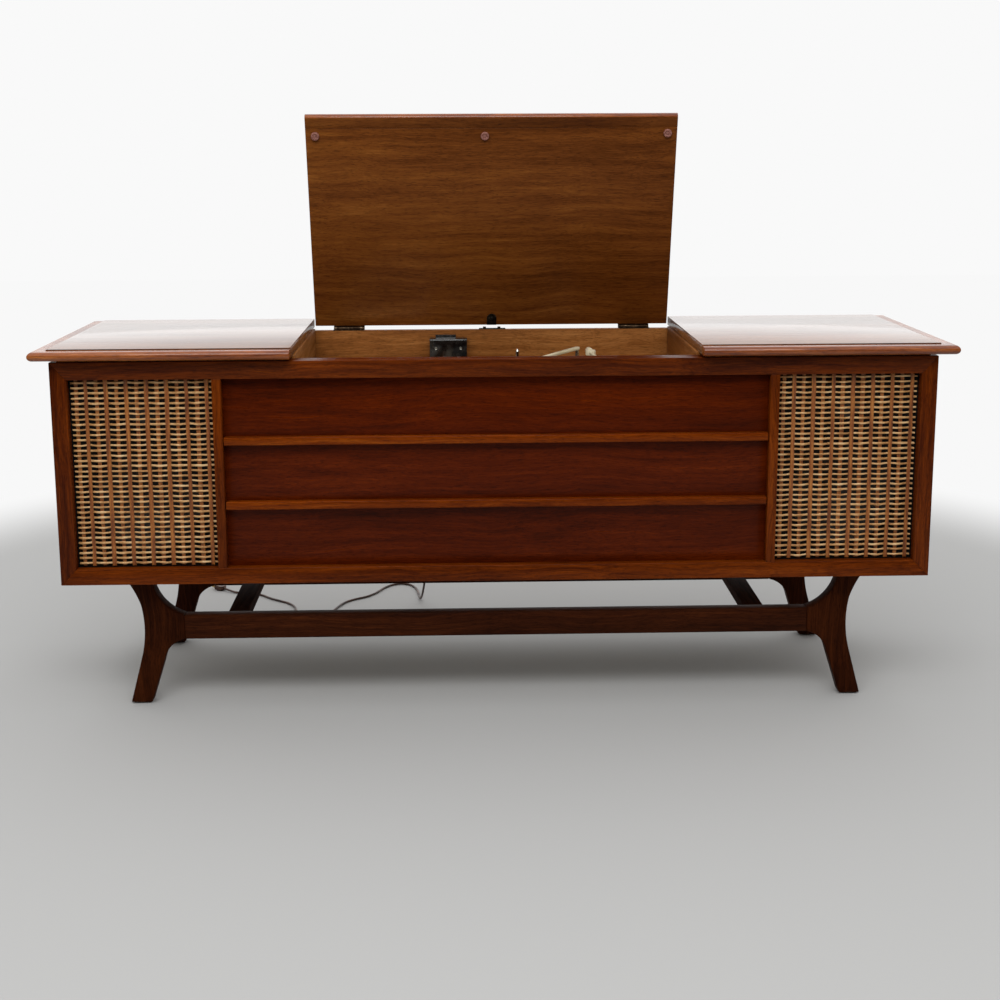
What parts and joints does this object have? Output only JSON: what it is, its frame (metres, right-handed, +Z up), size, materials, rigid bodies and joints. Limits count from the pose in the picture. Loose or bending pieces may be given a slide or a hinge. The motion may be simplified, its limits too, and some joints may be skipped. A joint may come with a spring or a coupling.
{
  "type": "radio phonograph console",
  "caption": "Long low walnut stereo console with woven end grilles, a lidded record well and a sculpted trestle base.",
  "frame": {"origin": "on the floor under the middle of the console's bounding box, with the lid open", "axes": "+X to the right-hand end seen from the front, -Y the front, +Z up"},
  "size_m": [1.815, 0.854, 1.2075],
  "materials": {
    "walnut_case": "semi-gloss lacquer on solid walnut",
    "walnut_top": "semi-gloss lacquer on walnut veneer",
    "walnut_edging": "semi-gloss lacquer on solid walnut",
    "walnut_panel": "semi-gloss lacquer on walnut veneer",
    "walnut_lid": "satin lacquer on walnut veneer",
    "walnut_legs": "semi-gloss lacquer on solid walnut",
    "poplar_core": "sawn and sealed",
    "birch_plywood": "stained plywood, thin lacquer",
    "hardboard": "pressed hardboard, smooth face",
    "black_board": "particle board, painted black",
    "woven_reed": "woven reed and paper cord, clear sealed",
    "speaker_black": "black stove enamel and paper cone",
    "nylon_glide": "moulded nylon",
    "satin_aluminium": "brushed and clear lacquered",
    "dial_glass": "clear printed glass",
    "zinc_steel": "zinc-plated steel",
    "tube_glass": "clear blown glass with getter",
    "black_enamel": "gloss black enamel",
    "bronzed_steel": "statuary bronze plate, worn",
    "cream_enamel": "stoved cream enamel",
    "satin_nickel": "satin nickel plate",
    "cord_rubber": "moulded rubber",
    "cord_vinyl": "brown vinyl",
    "plug_plastic": "brown moulded vinyl",
    "bumper_rubber": "red-brown rubber",
    "platter_enamel": "hammer enamel with rubber mat",
    "cream_plastic": "cream moulded plastic",
    "knob_plastic": "ivory plastic with brass inlay",
    "pointer_red": "red lacquered pointer"
  },
  "bodies": {
    "cabinet": {"top_panel_left": "walnut_top", "top_panel_right": "walnut_top", "nosing_left": "walnut_edging", "nosing_right": "walnut_edging", "top_spacers": "poplar_core", "frame_top_rail": "walnut_case", "frame_bottom_rail": "walnut_case", "frame_stile_left": "walnut_case", "frame_stile_right": "walnut_case", "divider_stiles": "walnut_case", "front_panel": "walnut_panel", "front_strips": "walnut_case", "side_panel_left": "walnut_panel", "side_panel_right": "walnut_panel", "bottom_panel": "poplar_core", "well_side_left": "birch_plywood", "well_side_right": "birch_plywood", "well_back": "birch_plywood", "back_panel": "hardboard", "back_screws": "zinc_steel", "speaker_baffles": "black_board", "grille_left": "woven_reed", "grille_right": "woven_reed", "woofers": "speaker_black", "tweeters": "speaker_black", "leg_front_left": "walnut_legs", "leg_front_right": "walnut_legs", "leg_rear_left": "walnut_legs", "leg_rear_right": "walnut_legs", "stretcher_front": "walnut_legs", "stretcher_rear": "walnut_legs", "cross_rails": "walnut_legs", "foot_glides": "nylon_glide", "motor_board": "birch_plywood", "control_panel": "satin_aluminium", "dial_glass": "dial_glass", "amplifier_chassis": "zinc_steel", "amplifier_tubes": "tube_glass", "power_transformer": "black_enamel", "lamp_box": "black_enamel", "hinge_case_leaves": "bronzed_steel", "changer_deck": "cream_enamel", "changer_motor": "zinc_steel", "changer_posts": "satin_nickel", "strain_relief": "cord_rubber", "power_cord": "cord_vinyl", "power_plug": "plug_plastic"},
    "lid": {"lid_panel": "walnut_lid", "lid_nosing": "walnut_edging", "lid_hinge_leaves": "bronzed_steel", "lid_bumpers": "bumper_rubber", "lid_stop": "zinc_steel"},
    "platter": {"platter": "platter_enamel"},
    "tonearm": {"tonearm": "cream_plastic"},
    "overarm": {"overarm": "cream_plastic"},
    "tuning_knob": {"tuning_knob": "knob_plastic"},
    "volume_knob": {"volume_knob": "knob_plastic"},
    "selector_knob": {"selector_knob": "knob_plastic"},
    "dial_pointer": {"dial_pointer": "pointer_red"},
    "control_lever": {"control_lever": "knob_plastic"}
  },
  "joints": [
    {"name": "lid_hinge", "type": "hinge", "parent": "cabinet", "child": "lid", "pos_m": [0, 0.2346, 0.729], "axis": [1, 0, 0], "range_deg": [0, 75.65]},
    {"name": "platter_spin", "type": "hinge", "parent": "cabinet", "child": "platter", "pos_m": [0.05, 0.0191, 0.65], "axis": [0, 0, -1], "continuous": true},
    {"name": "tonearm_swing", "type": "hinge", "parent": "cabinet", "child": "tonearm", "pos_m": [0.213, 0.0801, 0.692], "axis": [0, 0, -1], "range_deg": [0, 50]},
    {"name": "overarm_swing", "type": "hinge", "parent": "cabinet", "child": "overarm", "pos_m": [0.184, 0.0901, 0.7], "axis": [0, 0, -1], "range_deg": [-22, 24]},
    {"name": "tuning_turn", "type": "hinge", "parent": "cabinet", "child": "tuning_knob", "pos_m": [-0.229, -0.0529, 0.66], "axis": [0, 0, -1], "range_deg": [-720, 720]},
    {"name": "volume_turn", "type": "hinge", "parent": "cabinet", "child": "volume_knob", "pos_m": [-0.329, -0.0529, 0.66], "axis": [0, 0, -1], "range_deg": [0, 300]},
    {"name": "selector_turn", "type": "hinge", "parent": "cabinet", "child": "selector_knob", "pos_m": [-0.279, -0.1269, 0.66], "axis": [0, 0, -1], "range_deg": [-60, 60]},
    {"name": "pointer_slide", "type": "slide", "parent": "cabinet", "child": "dial_pointer", "axis": [1, 0, 0], "range_m": [-0.065, 0.065]},
    {"name": "lever_slide", "type": "slide", "parent": "cabinet", "child": "control_lever", "axis": [0, 1, 0], "range_m": [0, 0.016]}
  ],
  "couplings": [
    {"joint": "pointer_slide", "follows": "tuning_turn", "m_per_rad": 0.004934}
  ]
}
